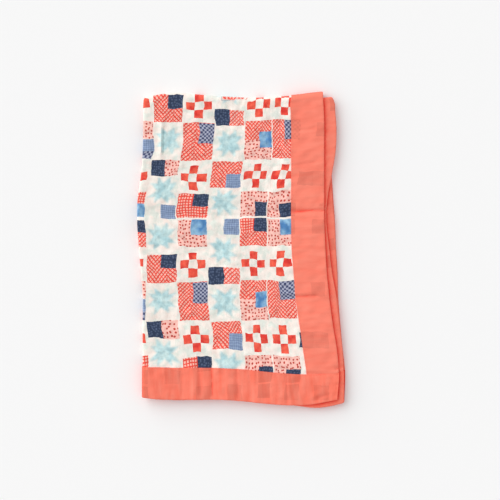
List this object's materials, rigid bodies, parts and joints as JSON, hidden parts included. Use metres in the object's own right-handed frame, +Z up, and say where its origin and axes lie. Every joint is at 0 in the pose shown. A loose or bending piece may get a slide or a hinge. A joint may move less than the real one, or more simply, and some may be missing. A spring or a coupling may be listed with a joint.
{
  "type": "patchwork baby blanket, folded",
  "caption": "Soft printed patchwork baby blanket with a wide sewn binding, folded in half twice and laid flat.",
  "frame": {"origin": "on the surface, under the middle of the folded bundle", "axes": "+Z up, +Y towards the second fold, +X towards the open side edges"},
  "size_m": [0.3761, 0.5694, 0.023],
  "materials": {
    "printed_muslin": "matt cotton muslin, block printed in red, navy, blue and aqua patches on cream",
    "coral_muslin": "matt plain coral cotton muslin"
  },
  "bodies": {
    "root": {"patchwork_panel": "printed_muslin", "side_binding_outer": "coral_muslin", "side_binding_inner": "coral_muslin", "end_binding_upper": "coral_muslin", "end_binding_lower": "coral_muslin"}
  },
  "joints": []
}
